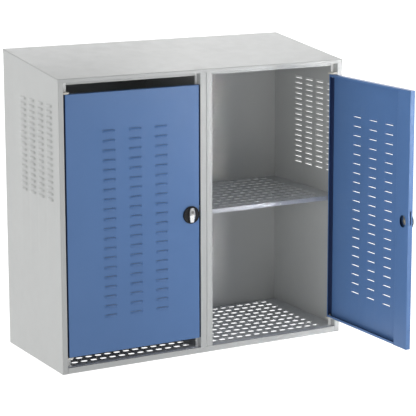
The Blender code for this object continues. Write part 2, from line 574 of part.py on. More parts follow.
left_hinge = hinge_frame("left_door_hinge_axis", LEFT_PIVOT_X, 0.0)
right_hinge = hinge_frame("right_door_hinge_axis", RIGHT_PIVOT_X, RIGHT_DOOR_REST)
door("left", left_hinge, lock_frame("left_lock_axis", left_hinge, 1.0), 1.0)
door("right", right_hinge, lock_frame("right_lock_axis", right_hinge, -1.0), -1.0)
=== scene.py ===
"""Looks for the two-door ventilated steel cabinet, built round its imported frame.

Folded sheets with real bend radii, pressed bridge louvres, perforated floors
and shelves and the two lever locks are modelled here in mesh code. Lengths in
the tables below are millimetres from the front left bottom corner of the
carcass: x to the right, y to the back, z up. A door's own lengths are x from
its hinge edge, y from its outer face to the inside, z from the floor.
"""
import math

import bmesh
import bpy
from mathutils import Matrix, Vector


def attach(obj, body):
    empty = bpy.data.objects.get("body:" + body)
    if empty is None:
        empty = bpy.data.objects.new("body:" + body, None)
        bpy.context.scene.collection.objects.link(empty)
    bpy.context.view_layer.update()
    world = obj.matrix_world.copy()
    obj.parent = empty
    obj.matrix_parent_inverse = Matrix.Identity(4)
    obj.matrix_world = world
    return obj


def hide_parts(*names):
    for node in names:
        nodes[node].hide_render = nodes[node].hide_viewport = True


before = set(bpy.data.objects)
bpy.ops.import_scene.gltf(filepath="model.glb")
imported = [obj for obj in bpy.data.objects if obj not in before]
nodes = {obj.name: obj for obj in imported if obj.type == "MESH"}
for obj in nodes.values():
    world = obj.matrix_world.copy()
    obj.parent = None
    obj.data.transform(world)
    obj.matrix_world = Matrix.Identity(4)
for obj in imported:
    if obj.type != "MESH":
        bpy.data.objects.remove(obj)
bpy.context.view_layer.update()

# ---------------------------------------------------------------- dimensions
WIDTH, DEPTH = 1050.0, 437.0
HEIGHT_FRONT, HEIGHT_BACK = 950.0, 1003.0
SKIN, FOLD, GAP = 1.2, 1.5, 0.3
POST_FACE, REBATE = 18.5, 26.0
LEFT_STOP_EDGE, RIGHT_STOP_EDGE = 38.0, 1021.0
CENTRE_X = WIDTH / 2.0
CENTRE_FACE_LEFT, CENTRE_FACE_RIGHT, CENTRE_STOP = 502.75, 547.25, 7.5
FASCIA_BOTTOM, REAR_FOLD_BOTTOM, HEADER_STOP_BOTTOM = 938.5, 988.0, 927.7
BASE_HEIGHT, FLOOR_TOP, FLOOR_FRONT = 19.5, 19.1, 20.3
SHELF_TOP, SHELF_FRONT, SHELF_LIP = 480.0, 21.0, 15.0
BACK_INNER = DEPTH - 2.0 * SKIN - GAP
HOLE_COLUMNS, HOLE_ROWS = 13, 10
HOLE_PITCH_X, HOLE_PITCH_Y = 34.03, 39.33
HOLE_FIRST_X_LEFT, HOLE_FIRST_X_RIGHT, HOLE_FIRST_Y = 64.2, 577.4, 50.8
HOLE_LENGTH, HOLE_WIDTH = 22.0, 14.0
SIDE_COLUMNS = [71.2 + 68.2 * k for k in range(4)]
SIDE_ROWS = [859.7 - 18.7 * k for k in range(17)]
DOOR_COLUMNS = [148.0, 241.0, 334.0]
DOOR_ROWS = [775.15 - 31.7 * k for k in range(20)]
DOOR_WIDTH, DOOR_BOTTOM, DOOR_TOP, DOOR_DEPTH = 473.25, 53.3, 900.4, 17.5
DOOR_LIP, DOOR_HINGE_LIP = 8.0, 5.0
CHANNEL_WIDTH = 70.0
LOUVRE_LENGTH, LOUVRE_HEIGHT, LOUVRE_RISE = 48.0, 8.4, 5.7
LOCK_X, LOCK_Z = DOOR_WIDTH - 31.5, 474.3
ROSETTE_RADIUS, ROSETTE_HEIGHT = 29.0, 6.2
LEVER_LENGTH, LEVER_WIDTH, LEVER_HEIGHT = 48.5, 21.0, 9.0
LEVER_BACK = -GAP - ROSETTE_HEIGHT - GAP
KEY_OFFSET, KEY_RADIUS = 10.5, 4.9
BEND = 2.4                # outer radius of the folds

# Carcass millimetres to the frame's metres, and the same for each door as it
# stands in the photograph: the left one shut, the right one open.
CARCASS = Matrix.Translation((-WIDTH / 2000.0, -DEPTH / 2000.0, 0.0)) @ Matrix.Scale(0.001, 4)
LEFT_DOOR = CARCASS @ Matrix.Translation((24.0, 0.0, 0.0))
RIGHT_DOOR = CARCASS @ Matrix(((0.0, -1.0, 0.0, 1026.25), (-1.0, 0.0, 0.0, 16.85),
                               (0.0, 0.0, 1.0, 0.0), (0.0, 0.0, 0.0, 1.0)))


def roof_z(y):
    return HEIGHT_FRONT + (HEIGHT_BACK - HEIGHT_FRONT) * y / DEPTH


# ----------------------------------------------------------------- materials
class Nodes:
    """A new material and short ways to add and join its nodes."""

    def __init__(self, name):
        self.mat = bpy.data.materials.new(name)
        self.mat.use_nodes = True
        self.tree = self.mat.node_tree
        self.shader = self.tree.nodes["Principled BSDF"]
        self.coords = self.tree.nodes.new("ShaderNodeTexCoord").outputs["Object"]

    def add(self, kind, **values):
        node = self.tree.nodes.new(kind)
        for key, value in values.items():
            setattr(node, key, value)
        return node

    def link(self, a, b):
        self.tree.links.new(a, b)

    def noise(self, scale, detail=3.0, rough=0.5, coords=None):
        node = self.add("ShaderNodeTexNoise")
        node.inputs["Scale"].default_value = scale
        node.inputs["Detail"].default_value = detail
        node.inputs["Roughness"].default_value = rough
        self.link(coords or self.coords, node.inputs["Vector"])
        return node.outputs["Fac"]

    def ramp(self, fac, low, high, start=0.3, end=0.7):
        node = self.add("ShaderNodeValToRGB")
        node.color_ramp.elements[0].position = start
        node.color_ramp.elements[1].position = end
        node.color_ramp.elements[0].color = (*low, 1.0)
        node.color_ramp.elements[1].color = (*high, 1.0)
        self.link(fac, node.inputs["Fac"])
        return node.outputs["Color"]

    def span(self, fac, low, high, start=0.3, end=0.7):
        node = self.add("ShaderNodeMapRange")
        node.inputs["From Min"].default_value = start
        node.inputs["From Max"].default_value = end
        node.inputs["To Min"].default_value = low
        node.inputs["To Max"].default_value = high
        self.link(fac, node.inputs["Value"])
        return node.outputs["Result"]

    def bump(self, height, strength, distance, normal=None):
        node = self.add("ShaderNodeBump")
        node.inputs["Strength"].default_value = strength
        node.inputs["Distance"].default_value = distance
        self.link(height, node.inputs["Height"])
        if normal is not None:
            self.link(normal, node.inputs["Normal"])
        return node.outputs["Normal"]

    def mix(self, fac, a, b, mode="MIX"):
        node = self.add("ShaderNodeMix", data_type="RGBA", blend_type=mode)
        if isinstance(fac, float):
            node.inputs["Factor"].default_value = fac
        else:
            self.link(fac, node.inputs["Factor"])
        for socket, value in ((node.inputs[6], a), (node.inputs[7], b)):
            if isinstance(value, tuple):
                socket.default_value = (*value, 1.0)
            else:
                self.link(value, socket)
        return node.outputs[2]

    def stretched(self, x, y, z):
        node = self.add("ShaderNodeMapping")
        node.inputs["Scale"].default_value = (x, y, z)
        self.link(self.coords, node.inputs["Vector"])
        return node.outputs["Vector"]


def powder_coat(name, low, high, roughness, specular=0.5, peel=0.10):
    """Baked powder paint: a fine orange-peel skin, a faint mottle and tiny pinholes."""
    n = Nodes(name)
    mottle = n.ramp(n.noise(9.0, 4.0, 0.6), low, high, 0.35, 0.65)
    grain = n.ramp(n.noise(1400.0, 2.0), (0.93, 0.93, 0.93), (1.0, 1.0, 1.0), 0.35, 0.6)
    n.link(n.mix(1.0, mottle, grain, "MULTIPLY"), n.shader.inputs["Base Color"])
    n.link(n.span(n.noise(26.0, 3.0), roughness - 0.04, roughness + 0.05), n.shader.inputs["Roughness"])
    n.shader.inputs["Specular IOR Level"].default_value = specular
    ripple = n.bump(n.noise(420.0, 2.0, 0.45), peel, 0.0005)
    n.link(n.bump(n.noise(38.0, 2.0), 0.05, 0.002, ripple), n.shader.inputs["Normal"])
    return n.mat


def zinc_sheet(name, low, high, roughness, metallic, spangle=120.0):
    """Hot-dipped sheet: cells of slightly different tone and gloss, and faint rolling lines."""
    n = Nodes(name)
    cells = n.add("ShaderNodeTexVoronoi")
    cells.inputs["Scale"].default_value = spangle
    n.link(n.coords, cells.inputs["Vector"])
    tone = n.ramp(cells.outputs["Color"], low, high, 0.2, 0.8)
    cloud = n.ramp(n.noise(14.0, 4.0, 0.6), (0.88, 0.89, 0.9), (1.0, 1.0, 1.0))
    n.link(n.mix(1.0, tone, cloud, "MULTIPLY"), n.shader.inputs["Base Color"])
    n.shader.inputs["Metallic"].default_value = metallic
    n.link(n.span(cells.outputs["Color"], roughness - 0.05, roughness + 0.06, 0.2, 0.8), n.shader.inputs["Roughness"])
    lines = n.bump(n.noise(60.0, 3.0, 0.6, n.stretched(1.0, 18.0, 1.0)), 0.05, 0.0003)
    n.link(n.bump(cells.outputs["Distance"], 0.02, 0.0003, lines), n.shader.inputs["Normal"])
    return n.mat


def plated(name, low, high, roughness, lines=0.12, stretch=(1.0, 1.0, 14.0)):
    """Plated small parts: satin metal with fine brushing and a little tarnish."""
    n = Nodes(name)
    n.link(n.ramp(n.noise(180.0, 4.0, 0.6), low, high), n.shader.inputs["Base Color"])
    n.shader.inputs["Metallic"].default_value = 1.0
    n.link(n.span(n.noise(500.0, 3.0), roughness - 0.05, roughness + 0.08), n.shader.inputs["Roughness"])
    n.link(n.bump(n.noise(900.0, 3.0, 0.6, n.stretched(*stretch)), lines, 0.0002), n.shader.inputs["Normal"])
    return n.mat


def moulded(name, low, high, roughness):
    """Moulded plastic with a fine spark-eroded grain."""
    n = Nodes(name)
    n.link(n.ramp(n.noise(240.0, 3.0), low, high), n.shader.inputs["Base Color"])
    n.link(n.span(n.noise(90.0, 2.0), roughness - 0.05, roughness + 0.07), n.shader.inputs["Roughness"])
    n.link(n.bump(n.noise(2600.0, 2.0), 0.18, 0.0002), n.shader.inputs["Normal"])
    n.shader.inputs["Specular IOR Level"].default_value = 0.16
    return n.mat


GREY = powder_coat("grey_powder_coat", (0.454, 0.464, 0.459), (0.466, 0.476, 0.470), 0.40)
TAB = powder_coat("warm_grey_coat", (0.60, 0.58, 0.52), (0.66, 0.64, 0.58), 0.42)
BLUE = powder_coat("blue_powder_coat", (0.084, 0.174, 0.374), (0.088, 0.180, 0.384), 0.34, 0.28)
# Dark navy painted shade for the doors' hinge edges, the insides of the hinge-side returns and narrow skin strips
# along the hinge and bottom lips.
DOOR_PAINTED_SHADE = powder_coat("blue_door_painted_shade", (0.016, 0.030, 0.085), (0.020, 0.036, 0.098), 0.5, 0.2)
SHEET = zinc_sheet("galvanised_sheet", (0.69, 0.70, 0.72), (0.77, 0.78, 0.80), 0.36, 0.5)
# A darker copy of the galvanised sheet, painted shade on the front faces of the shelf lips.
LIP = zinc_sheet("galvanised_lip_painted_shade", (0.38, 0.39, 0.42), (0.43, 0.44, 0.47), 0.42, 0.3)
# A lighter copy of the grey coat, a painted highlight on the stop flanges.
STOP_PAINTED_HIGHLIGHT = powder_coat("stop_painted_highlight", (0.76, 0.77, 0.765), (0.80, 0.81, 0.80), 0.40)
LEDGE = powder_coat("bluish_ledge_coat", (0.55, 0.57, 0.62), (0.59, 0.61, 0.66), 0.42)
SHADE = powder_coat("shaded_rebate_coat", (0.055, 0.085, 0.135), (0.070, 0.100, 0.155), 0.5, 0.2)
# A dark copy of the grey coat, painted shade inside the front rail's gutter.
GROOVE_PAINTED_SHADE = powder_coat("groove_painted_shade", (0.085, 0.088, 0.095), (0.105, 0.108, 0.115), 0.6, 0.2)
BARREL = plated("dark_nickel", (0.15, 0.15, 0.148), (0.20, 0.20, 0.196), 0.36)
# A darker copy of the lever's nickel, painted shade on the lever's upper half.
NICKEL_PAINTED_SHADE = plated("nickel_painted_shade", (0.34, 0.34, 0.335), (0.42, 0.42, 0.415), 0.38)
BLACK = moulded("black_moulded_plastic", (0.010, 0.010, 0.011), (0.018, 0.018, 0.019), 0.34)
NICKEL = plated("satin_nickel", (0.70, 0.70, 0.69), (0.80, 0.80, 0.79), 0.24)
ZINC = plated("yellow_zinc_plate", (0.50, 0.46, 0.37), (0.62, 0.58, 0.49), 0.34)


# -------------------------------------------------------------- mesh helpers
def settle(bm, matrix):
    """Place a mesh, and turn its faces over where the placing mirrors it."""
    bm.transform(matrix)
    if matrix.determinant() < 0.0:
        bmesh.ops.reverse_faces(bm, faces=bm.faces[:])
    bm.normal_update()


def face_out(bm):
    bm.normal_update()
    bmesh.ops.recalc_face_normals(bm, faces=bm.faces[:])
    bm.normal_update()


def finish(name, bm, matrix, mat, body, replaced=(), solid=None, cutters=(), bevel=None, angle=32.0,
           second=()):
    """Turn a mesh in millimetres into a piece that rides on a CAD body.

    second holds other materials, each with a test of a face's centre and
    normal, both in the piece's own millimetres, for the faces that get it.
    """
    if solid is None:
        face_out(bm)
    settle(bm, matrix)
    mesh = bpy.data.meshes.new(name)
    bm.to_mesh(mesh)
    bm.free()
    mesh.materials.append(mat)
    piece = bpy.data.objects.new(name, mesh)
    bpy.context.scene.collection.objects.link(piece)
    if solid is not None:
        mod = piece.modifiers.new("thickness", "SOLIDIFY")
        mod.thickness = solid * 0.001
        mod.offset = -1.0
        mod.use_even_offset = True
        mod.use_quality_normals = True
    for cutter in cutters:
        mod = piece.modifiers.new("cut", "BOOLEAN")
        mod.operation = "DIFFERENCE"
        mod.solver = "EXACT"
        mod.object = cutter
    if bevel is not None:
        mod = piece.modifiers.new("edges", "BEVEL")
        mod.width = bevel * 0.001
        mod.segments = 2
        mod.limit_method = "ANGLE"
        mod.angle_limit = math.radians(40.0)
    if piece.modifiers:
        graph = bpy.context.evaluated_depsgraph_get()
        solved = bpy.data.meshes.new_from_object(piece.evaluated_get(graph))
        piece.modifiers.clear()
        piece.data = solved
        solved.name = name
    for cutter in cutters:
        bpy.data.objects.remove(cutter)
    back = matrix.inverted()
    for index, (other, test) in enumerate(second):
        piece.data.materials.append(other)
        for face in piece.data.polygons:
            if test(back @ face.center, (back.to_3x3() @ face.normal).normalized()):
                face.material_index = index + 1
    piece.data.shade_smooth()
    piece.data.set_sharp_from_angle(angle=math.radians(angle))
    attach(piece, body)
    if replaced:
        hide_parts(*replaced)
    return piece


def cutter(bm, matrix):
    face_out(bm)
    settle(bm, matrix)
    mesh = bpy.data.meshes.new("cutter")
    bm.to_mesh(mesh)
    bm.free()
    shape = bpy.data.objects.new("cutter", mesh)
    bpy.context.scene.collection.objects.link(shape)
    return shape


def prism(bm, outline, axis, start, end):
    """Extrude a closed outline along x, y or z; the outline has the other two coordinates."""
    def place(p, q, s):
        return {"x": (s, p, q), "y": (p, s, q), "z": (p, q, s)}[axis]

    near = [bm.verts.new(place(p, q, start)) for p, q in outline]
    far = [bm.verts.new(place(p, q, end)) for p, q in outline]
    bm.faces.new(near)
    bm.faces.new(far[::-1])
    for k in range(len(near)):
        bm.faces.new((near[k - 1], near[k], far[k], far[k - 1]))


def folded(outline, thickness, bend=BEND, steps=6, keep=()):
    """Round a sheet section: big bends where it folds, tiny ones on its cut ends."""
    points = [Vector(p) for p in outline]
    count = len(points)
    area = sum(points[k - 1].x * points[k].y - points[k].x * points[k - 1].y for k in range(count))
    rounded = []
    for k in range(count):
        before, here, after = points[k - 1], points[k], points[(k + 1) % count]
        a, b = before - here, after - here
        turn = (here - before).cross(after - here) * (1.0 if area > 0.0 else -1.0)
        if k in keep:
            rounded.append(here)
            continue
        if min(a.length, b.length) < thickness * 1.3:
            r = 0.22 if turn > 0.0 else 0.0
        elif turn > 0.0:
            r = bend
        else:
            r = max(bend - thickness, 0.3)
        if r == 0.0:
            rounded.append(here)
            continue
        half = a.angle(b) / 2.0
        r = min(r, 0.48 * min(a.length, b.length) * math.tan(half))
        reach = r / math.tan(half)
        start, end = here + a.normalized() * reach, here + b.normalized() * reach
        centre = here + (a.normalized() + b.normalized()).normalized() * (r / math.sin(half))
        s, e = start - centre, end - centre
        sweep = s.angle_signed(e)
        cuts = 1 if r < 0.3 else max(2, int(steps * abs(sweep) / (math.pi / 2.0) + 0.5))
        for j in range(cuts + 1):
            t = -sweep * j / cuts
            rounded.append(centre + Vector((s.x * math.cos(t) - s.y * math.sin(t),
                                            s.x * math.sin(t) + s.y * math.cos(t))))
    return [(p.x, p.y) for p in rounded]


def oval(width, height, sides, p=0.0, q=0.0):
    r = min(width, height) / 2.0
    px, qx = width / 2.0 - r, height / 2.0 - r
    points = []
    for k in range(sides):
        a = 2.0 * math.pi * (k + 0.5) / sides
        points.append((p + r * math.cos(a) + math.copysign(px, math.cos(a)),
                       q + r * math.sin(a) + math.copysign(qx, math.sin(a))))
    return points


def louvre_height(s, level, levels):
    """How far a pressed strip stands off the sheet at a distance from its middle.

    The strip leans: its lower edge, level 0, stands out furthest, and its
    upper edge, level 2, least.
    """
    t = (LOUVRE_LENGTH / 2.0 + 0.2 - abs(s)) / 7.4
    t = max(0.0, min(1.0, t))
    return levels[level] * t * t * (3.0 - 2.0 * t)


STATIONS = [-24.2, -23.2, -22.0, -20.8, -19.6, -18.2, -16.6, 0.0, 16.6, 18.2, 19.6, 20.8, 22.0, 23.2, 24.2]
KERF = 0.15
# Stand-off of a strip's lower edge, middle and upper edge.
DOOR_LEVELS = (LOUVRE_RISE, 4.9, 2.3)
SIDE_LEVELS = (LOUVRE_RISE, 4.6, 0.4)


def louvred_grid(bm, us, vs, place, columns, rows, skip=(), levels=DOOR_LEVELS):
    """A sheet as a grid of cells, with bridge louvres pressed out of it.

    place(u, v, out) gives a point of the sheet's outer face, moved out along
    its normal. Each louvre is slit along both long edges and stays joined to
    the sheet at its two ends.
    """
    us = sorted(set(round(u, 4) for u in us) | {round(c + s, 4) for c in columns for s in STATIONS})
    half = LOUVRE_HEIGHT / 2.0
    vs = sorted(set(round(v, 4) for v in vs) | {round(r + d, 4) for r in rows for d in (-half, 0.0, half)})
    grid = {}

    def vert(i, j):
        if (i, j) not in grid:
            grid[i, j] = bm.verts.new(place(us[i], vs[j], 0.0))
        return grid[i, j]

    def inside(value, centres, reach):
        for c in centres:
            if abs(value - c) < reach:
                return c
        return None

    for i in range(len(us) - 1):
        for j in range(len(vs) - 1):
            u, v = (us[i] + us[i + 1]) / 2.0, (vs[j] + vs[j + 1]) / 2.0
            column, row = inside(u, columns, 24.2), inside(v, rows, half)
            if column is not None and row is not None:
                continue
            if any(a < u < b and c < v < d for a, b, c, d in skip):
                continue
            bm.faces.new((vert(i, j), vert(i + 1, j), vert(i + 1, j + 1), vert(i, j + 1)))
    where = {u: i for i, u in enumerate(us)}
    level = {v: j for j, v in enumerate(vs)}
    for column in columns:
        for row in rows:
            lines = []
            for d, lean, inset in ((-half, 0, 1.0), (0.0, 1, 0.0), (half, 2, -KERF)):
                j = level[round(row + d, 4)]
                line = []
                for s in STATIONS:
                    i = where[round(column + s, 4)]
                    if abs(s) > 24.0:
                        line.append(vert(i, j))
                        continue
                    drawn = louvre_height(s, lean, levels)
                    pull = inset if lean != 0 else KERF + (inset - KERF) * drawn / LOUVRE_RISE
                    line.append(bm.verts.new(place(column + s, row + d + pull, drawn)))
                lines.append(line)
            for low, high in zip(lines, lines[1:]):
                for k in range(len(STATIONS) - 1):
                    bm.faces.new((low[k], low[k + 1], high[k + 1], high[k]))
    return us, vs, vert


def piece_from_outline(name, outline, axis, start, end, thickness, replaced=(), mat=None,
                       keep=(), bend=BEND, cutters=(), body="carcass", second=(), splits=()):
    bm = bmesh.new()
    prism(bm, folded(outline, thickness, bend, keep=keep), axis, start, end)
    for z in splits:
        bmesh.ops.bisect_plane(bm, geom=bm.verts[:] + bm.edges[:] + bm.faces[:], dist=1e-5, plane_co=(0.0, 0.0, z),
                               plane_no=(0.0, 0.0, 1.0))
    return finish(name, bm, CARCASS, mat or GREY, body, replaced, cutters=cutters, second=second)


def on_stop(p, n):
    """The front of a stop flange, at the bottom of the door rebate, which gets a lighter copy of the grey coat as a
    painted highlight.
    """
    return n.y < -0.8 and p.y > REBATE - FOLD - 0.3


def in_rebate(p, n):
    """The wall of the left door's rebate on the centre post."""
    return n.x < -0.8 and abs(p.x - CENTRE_FACE_LEFT) < 0.4 and 1.5 < p.y < REBATE and DOOR_BOTTOM < p.z < DOOR_TOP


def in_groove(p, n):
    """The inside of the gutter of the front rail, darkened as painted shade."""
    return 1.0 < p.y < 9.9 and 0.9 < p.z < BASE_HEIGHT - 0.6 and (n.z > 0.1 or abs(n.y) > 0.3)


def on_lip(p, n):
    """The lip of the front rail, level with the floor."""
    return n.z > 0.2 and p.y > 9.8 and p.z > FLOOR_TOP - 1.8


# ---------------------------------------------------------- carcass: outside
def side_panel(name, mirror):
    """Side sheet: rear return, rounded corners and four columns of louvres."""
    r = 2.2
    turn = math.pi / 2.0
    arc = r * turn
    # Distance u runs forward along the outer face from the inner end of the
    # rear return: return, bend, side, bend, and 2 mm of front face.
    back = 15.0 - r
    side = DEPTH - 2.0 * r
    stops = [0.0, back, back + arc, back + arc + side, back + 2.0 * arc + side]

    def plan(u):
        if u <= stops[1]:
            return 15.0 - u, DEPTH, 0.0, 1.0
        if u <= stops[2]:
            a = (u - stops[1]) / r
            return r - r * math.sin(a), DEPTH - r + r * math.cos(a), -math.sin(a), math.cos(a)
        if u <= stops[3]:
            return 0.0, DEPTH - r - (u - stops[2]), -1.0, 0.0
        a = (u - stops[3]) / r
        return r - r * math.cos(a), r - r * math.sin(a), -math.cos(a), -math.sin(a)

    low = 0.0
    high = 900.0

    def top(y):
        if y < FOLD + 0.25:
            return FASCIA_BOTTOM - GAP
        if y > DEPTH - FOLD - 0.35:
            return REAR_FOLD_BOTTOM - GAP
        return roof_z(y) - FOLD - 1.0

    def place(u, v, out):
        x, y, nx, ny = plan(u)
        z = v if v <= high else high + (v - high) * (top(y) - high) / 100.0
        x += nx * out
        y += ny * out
        return (WIDTH - x if mirror else x, y, z)

    def distance(y):
        return stops[2] + DEPTH - r - y

    us = [stops[1] + arc * k / 6.0 for k in range(7)] + [stops[3] + arc * k / 6.0 for k in range(7)]
    us += [0.0, 8.0, distance(FOLD + 0.9), distance(DEPTH - FOLD - 0.9), distance(360.0), distance(30.0)]
    us = [u for u in us if 0.0 <= u <= stops[4]]
    bm = bmesh.new()
    louvred_grid(bm, us, [low, 250.0, high, high + 100.0], place, [distance(y) for y in SIDE_COLUMNS], SIDE_ROWS,
                 levels=SIDE_LEVELS)
    face_out(bm)
    # Outward normals first, because the sheet's thickness goes inwards.
    probe = min(bm.faces, key=lambda f: abs(f.calc_center_median().z - 300.0) + abs(f.calc_center_median().y - 200.0))
    outward = 1.0 if mirror else -1.0
    if probe.normal.x * outward < 0.0:
        bmesh.ops.reverse_faces(bm, faces=bm.faces[:])
    return finish(name, bm, CARCASS, GREY, "carcass",
                  ("right_side_panel" if mirror else "left_side_panel",), solid=SKIN)


side_panel("left_side_sheet", False)
side_panel("right_side_sheet", True)

POST_TOP = FASCIA_BOTTOM - GAP


def outer_post(name, stop_edge, mirror, replaced):
    outline = [(2.4, 20.0), (2.4, 0.0), (POST_FACE, 0.0), (POST_FACE, REBATE - FOLD), (stop_edge, REBATE - FOLD),
               (stop_edge, REBATE), (POST_FACE - FOLD, REBATE), (POST_FACE - FOLD, FOLD), (2.4 + FOLD, FOLD),
               (2.4 + FOLD, 20.0)]
    if mirror:
        outline = [(WIDTH - x, y) for x, y in outline]
    return piece_from_outline(name, outline, "z", 0.0, POST_TOP, FOLD, (replaced,), keep=(1,), 
                              second=((STOP_PAINTED_HIGHLIGHT, on_stop),))


outer_post("left_post_fold", LEFT_STOP_EDGE, False, "left_front_post")
outer_post("right_post_fold", WIDTH - RIGHT_STOP_EDGE, True, "right_front_post")

for name, mirror, replaced in (("centre_post_fold_left", False, "centre_post_left"),
                               ("centre_post_fold_right", True, "centre_post_right")):
    outline = [(CENTRE_FACE_LEFT - CENTRE_STOP, REBATE), (CENTRE_FACE_LEFT - CENTRE_STOP, REBATE - FOLD),
               (CENTRE_FACE_LEFT, REBATE - FOLD), (CENTRE_FACE_LEFT, 0.0), (CENTRE_X - GAP / 2.0, 0.0),
               (CENTRE_X - GAP / 2.0, 20.0), (CENTRE_X - GAP / 2.0 - FOLD, 20.0), (CENTRE_X - GAP / 2.0 - FOLD, FOLD),
               (CENTRE_FACE_LEFT + FOLD, FOLD), (CENTRE_FACE_LEFT + FOLD, REBATE)]
    if mirror:
        outline = [(WIDTH - x, y) for x, y in outline]
    wall = CENTRE_FACE_RIGHT if mirror else CENTRE_FACE_LEFT
    bm = bmesh.new()
    prism(bm, oval(6.6, 37.0, 16, 8.7, LOCK_Z + 8.5), "x", wall - 3.0, wall + 3.0)
    slot_cut = cutter(bm, CARCASS)
    piece_from_outline(name, outline, "z", BASE_HEIGHT + GAP, POST_TOP, FOLD, (replaced,), cutters=(slot_cut,),
                       second=((STOP_PAINTED_HIGHLIGHT, on_stop), (SHADE, in_rebate)), splits=(DOOR_BOTTOM, DOOR_TOP))

# Roof: rear fold, slope and front fold.
piece_from_outline("roof_sheet", [
    (0.0, FASCIA_BOTTOM), (0.0, HEIGHT_FRONT), (DEPTH, HEIGHT_BACK), (DEPTH, REAR_FOLD_BOTTOM),
    (DEPTH - FOLD, REAR_FOLD_BOTTOM), (DEPTH - FOLD, roof_z(DEPTH - FOLD) - FOLD), (FOLD, roof_z(FOLD) - FOLD),
    (FOLD, FASCIA_BOTTOM)], "x", 0.0, WIDTH, FOLD, ("roof",), bend=3.2)

for side, left, right, stop_left, stop_right in (
        ("left", POST_FACE + GAP, CENTRE_FACE_LEFT - GAP, LEFT_STOP_EDGE + GAP, CENTRE_FACE_LEFT - CENTRE_STOP - GAP),
        ("right", CENTRE_FACE_RIGHT + GAP, WIDTH - POST_FACE - GAP, CENTRE_FACE_RIGHT + CENTRE_STOP + GAP,
         RIGHT_STOP_EDGE - GAP)):
    cuts = []
    for a, b in ((left - 1.0, stop_left), (stop_right, right + 1.0)):
        bm = bmesh.new()
        prism(bm, [(a, REBATE - FOLD - GAP), (b, REBATE - FOLD - GAP), (b, REBATE + 1.0), (a, REBATE + 1.0)], "z",
              HEADER_STOP_BOTTOM - 1.0, FASCIA_BOTTOM + 1.0)
        cuts.append(cutter(bm, CARCASS))
    piece_from_outline(side + "_header_fold", [
        (FOLD + GAP, FASCIA_BOTTOM - FOLD), (FOLD + GAP, HEIGHT_FRONT - 4.0), (2.0 * FOLD + GAP, HEIGHT_FRONT - 4.0),
        (2.0 * FOLD + GAP, FASCIA_BOTTOM), (REBATE, FASCIA_BOTTOM), (REBATE, HEADER_STOP_BOTTOM),
        (REBATE - FOLD, HEADER_STOP_BOTTOM), (REBATE - FOLD, FASCIA_BOTTOM - FOLD)], "x", left, right, FOLD,
        (side + "_header_rail",), cutters=cuts, bend=2.0)

piece_from_outline("base_front_fold", [
    (0.0, 0.0), (0.0, BASE_HEIGHT), (FOLD, BASE_HEIGHT), (FOLD, FOLD), (9.8, FOLD), (9.8, FLOOR_TOP),
    (20.0, FLOOR_TOP), (20.0, FLOOR_TOP - FOLD), (11.3, FLOOR_TOP - FOLD), (11.3, 0.0)], "x",
    POST_FACE + GAP, WIDTH - POST_FACE - GAP, FOLD, ("base_front_rail",), bend=1.7,
    second=((GROOVE_PAINTED_SHADE, in_groove), (LEDGE, on_lip)))

# ----------------------------------------------------------- carcass: inside
WALL = CENTRE_X - SKIN / 2.0
LEFT_STEPS = (LEFT_STOP_EDGE + 1.3, CENTRE_FACE_LEFT - CENTRE_STOP - 1.3)
RIGHT_STEPS = (CENTRE_FACE_RIGHT + CENTRE_STOP + 1.3, RIGHT_STOP_EDGE - 1.3)


def hole_cutter(first_x, low, high):
    bm = bmesh.new()
    for column in range(HOLE_COLUMNS):
        for row in range(HOLE_ROWS):
            prism(bm, oval(HOLE_LENGTH, HOLE_WIDTH, 20, first_x + column * HOLE_PITCH_X,
                           HOLE_FIRST_Y + row * HOLE_PITCH_Y), "z", low, high)
    return cutter(bm, CARCASS)


def perforated(name, replaced, left, right, steps, front, rear, top, first_x, lip=0.0):
    """A sheet with rows of round-ended holes, notched round the posts; a shelf has a front lip."""
    behind = REBATE + 0.6
    r = 2.2
    bm = bmesh.new()
    # The section of the lipped middle part, then the two side parts behind the posts.
    stations = []
    if lip:
        for k in range(7):
            a = math.pi / 2.0 * k / 6.0
            stations.append((front + r - r * math.sin(a), top - r + r * math.cos(a)))
        stations.append((front, top - lip))
    else:
        stations.append((front, top))
    rows = [[(steps[0], y, z) for y, z in reversed(stations)], [(steps[1], y, z) for y, z in reversed(stations)]]
    a = [bm.verts.new(p) for p in rows[0]]
    b = [bm.verts.new(p) for p in rows[1]]
    for k in range(len(a) - 1):
        bm.faces.new((a[k], b[k], b[k + 1], a[k + 1]))
    flat = [a[-1], b[-1]] + [bm.verts.new(p) for p in (
        (steps[1], behind, top), (right, behind, top), (right, rear, top), (left, rear, top), (left, behind, top),
        (steps[0], behind, top))]
    bm.faces.new(flat)
    face_out(bm)
    probe = max(bm.faces, key=lambda f: f.calc_area())
    if probe.normal.z < 0.0:
        bmesh.ops.reverse_faces(bm, faces=bm.faces[:])
    # Painted shade: the front faces of a shelf's lip get the darker copy of the galvanised sheet.
    return finish(name, bm, CARCASS, SHEET, "carcass", (replaced,), solid=0.5,
                  cutters=(hole_cutter(first_x, top - FOLD - 1.0, top + 1.0),),
                  second=((LIP, lambda p, n: lip > 0.0 and p.y < front + 1.6 and n.y < -0.5),))


perforated("left_floor_sheet", "left_floor", SKIN + GAP, WALL - GAP, LEFT_STEPS, FLOOR_FRONT, BACK_INNER - GAP,
           FLOOR_TOP, HOLE_FIRST_X_LEFT)
perforated("right_floor_sheet", "right_floor", WIDTH - WALL + GAP, WIDTH - SKIN - GAP, RIGHT_STEPS, FLOOR_FRONT,
           BACK_INNER - GAP, FLOOR_TOP, HOLE_FIRST_X_RIGHT)
perforated("left_shelf_sheet", "left_shelf", SKIN + 1.0, WALL - 1.0, LEFT_STEPS, SHELF_FRONT, BACK_INNER - 1.0,
           SHELF_TOP, HOLE_FIRST_X_LEFT, SHELF_LIP)
perforated("right_shelf_sheet", "right_shelf", WIDTH - WALL + 1.0, WIDTH - SKIN - 1.0, RIGHT_STEPS, SHELF_FRONT,
           BACK_INNER - 1.0, SHELF_TOP, HOLE_FIRST_X_RIGHT, SHELF_LIP)

